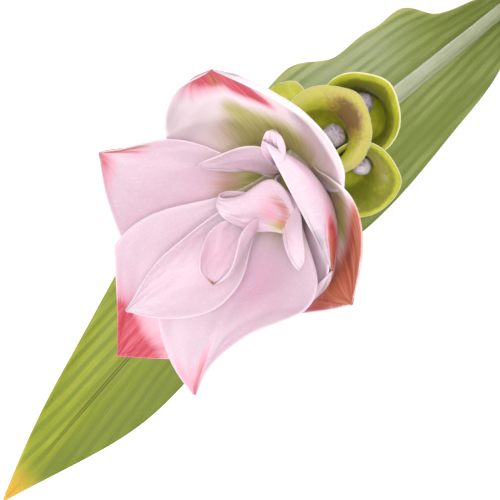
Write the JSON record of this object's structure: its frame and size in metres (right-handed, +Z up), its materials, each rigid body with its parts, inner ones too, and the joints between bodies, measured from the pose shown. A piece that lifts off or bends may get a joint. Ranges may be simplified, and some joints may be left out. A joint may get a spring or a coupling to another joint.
{
  "type": "potted siam tulip",
  "caption": "Siam tulip in a plain clay pot, with a flower spike of green cup bracts under a crown of pale pink bracts with red tips, and long arching leaves.",
  "frame": {"origin": "middle of the pot's underside", "axes": "+Z up through the pot and the flower stem, +Y towards the tallest leaf"},
  "size_m": [0.4283, 0.3756, 0.5527],
  "materials": {
    "pot_clay": "fired clay, matt",
    "soil": "moist crumbly potting mix",
    "stem": "smooth pale green",
    "leaf": "satin leaf with fine lengthwise veins",
    "green_bract": "satin, mottled brownish inside the lip",
    "pink_bract": "soft satin with fine lengthwise veins and red tips",
    "bud": "soft, wrinkled"
  },
  "bodies": {
    "root": {"pot": "pot_clay", "soil": "soil", "scape": "stem", "leaf_1": "leaf", "leaf_2": "leaf", "leaf_3": "leaf", "leaf_4": "leaf", "green_bracts": "green_bract", "coma": "pink_bract", "bud_1": "bud", "bud_2": "bud", "bud_3": "bud", "bud_4": "bud"}
  },
  "joints": []
}
